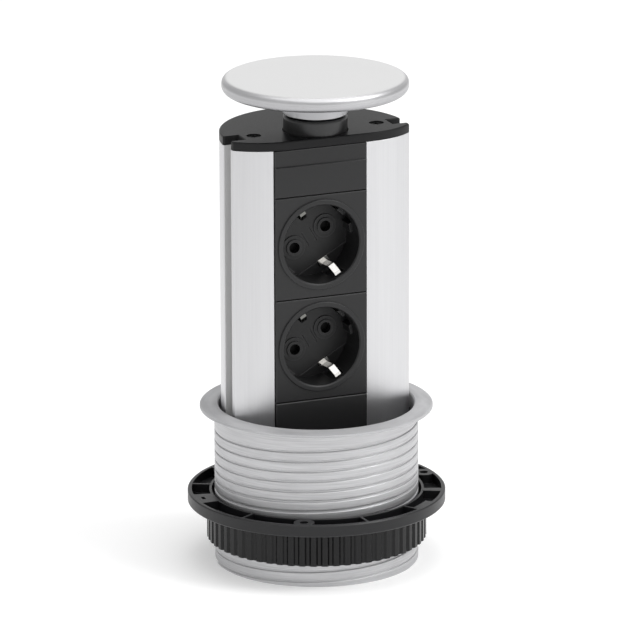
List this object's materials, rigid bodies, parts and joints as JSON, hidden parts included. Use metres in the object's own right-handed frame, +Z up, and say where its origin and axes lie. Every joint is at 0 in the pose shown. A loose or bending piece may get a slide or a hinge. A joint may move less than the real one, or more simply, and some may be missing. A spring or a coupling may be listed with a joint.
{
  "type": "pop up desk socket",
  "caption": "Earthed sockets in a round aluminium column that slides up out of a threaded worktop sleeve, with a spring lid, clamp ring and knurled nut.",
  "frame": {"origin": "centre of the threaded sleeve's lower edge, on the sleeve's axis", "axes": "+Z up along the sleeve's axis, -Y out of the socket faces, +X to the right of a person facing the sockets"},
  "size_m": [0.1286, 0.1286, 0.2469],
  "materials": {
    "sleeve_aluminium": "turned and satin anodised",
    "column_aluminium": "extruded and satin anodised",
    "lid_aluminium": "fine satin with a soft edge",
    "collar_aluminium": "bright turned",
    "gloss_black": "smooth semi gloss",
    "insert_black": "fine moulded satin",
    "clamp_black": "moulded matte",
    "shutter_grey": "moulded matte",
    "inner_black": "moulded matte",
    "inner_white": "moulded matte",
    "bearing_black": "low friction moulded",
    "bright_nickel": "bright nickel plate",
    "contact_brass": "plain",
    "black_screw": "blackened",
    "zinc_screw": "zinc plated",
    "spring_steel": "bare spring wire"
  },
  "bodies": {
    "sleeve": {"threaded_sleeve": "sleeve_aluminium", "guide_key_left": "bearing_black", "guide_key_right": "bearing_black", "key_screws": "zinc_screw", "glide_pads": "bearing_black"},
    "clamp": {"clamp_ring": "clamp_black"},
    "nut": {"knurled_nut": "clamp_black"},
    "column": {"column_extrusion": "column_aluminium", "top_cap": "gloss_black", "cap_screws": "black_screw", "base_plate": "inner_black", "base_screws": "zinc_screw", "cord_gland": "inner_black", "gland_nut": "inner_black", "cord_clamp": "inner_black", "cord_clamp_screws": "zinc_screw", "blank_plate_upper": "insert_black", "blank_plate_lower": "insert_black", "socket_face_upper": "insert_black", "socket_face_lower": "insert_black", "back_screws": "zinc_screw", "live_bar": "contact_brass", "neutral_bar": "contact_brass", "earth_bar": "contact_brass", "terminal_block": "inner_white", "terminal_clamps": "contact_brass", "terminal_screws": "zinc_screw", "guide_cup": "inner_black", "guide_screws": "zinc_screw", "socket_back_upper": "inner_black", "earth_clip_upper": "bright_nickel", "live_contact_upper": "contact_brass", "neutral_contact_upper": "contact_brass", "socket_back_lower": "inner_black", "earth_clip_lower": "bright_nickel", "live_contact_lower": "contact_brass", "neutral_contact_lower": "contact_brass"},
    "lid": {"lid_disc": "lid_aluminium", "lid_collar": "collar_aluminium", "neck": "gloss_black", "lid_screw": "zinc_screw", "lid_spring": "spring_steel"},
    "upper_shutter": {"shutter_upper": "shutter_grey"},
    "lower_shutter": {"shutter_lower": "shutter_grey"}
  },
  "joints": [
    {"name": "column_slide", "type": "slide", "parent": "sleeve", "child": "column", "axis": [0, 0, 1], "range_m": [-0.14715, 0]},
    {"name": "lid_press", "type": "slide", "parent": "column", "child": "lid", "axis": [0, 0, 1], "range_m": [-0.019, 0], "stiffness_N_per_m": 250, "springref_m": 0.01, "deforming": ["lid_spring"]},
    {"name": "clamp_slide", "type": "slide", "parent": "sleeve", "child": "clamp", "axis": [0, 0, 1], "range_m": [-0.01, 0.036]},
    {"name": "nut_turn", "type": "hinge", "parent": "clamp", "child": "nut", "pos_m": [0, 0, 0.0207], "axis": [0, 0, 1], "range_deg": [-349, 1258]},
    {"name": "upper_shutter_turn", "type": "hinge", "parent": "column", "child": "upper_shutter", "pos_m": [-0.00455, 0.0009, 0.1666], "axis": [0, -1, 0], "range_deg": [0, 40], "stiffness_Nm_per_rad": 0.0005},
    {"name": "lower_shutter_turn", "type": "hinge", "parent": "column", "child": "lower_shutter", "pos_m": [-0.00455, 0.0009, 0.1144], "axis": [0, -1, 0], "range_deg": [0, 40], "stiffness_Nm_per_rad": 0.0005}
  ],
  "couplings": [
    {"joint": "clamp_slide", "follows": "nut_turn", "m_per_rad": 0.0016393}
  ]
}
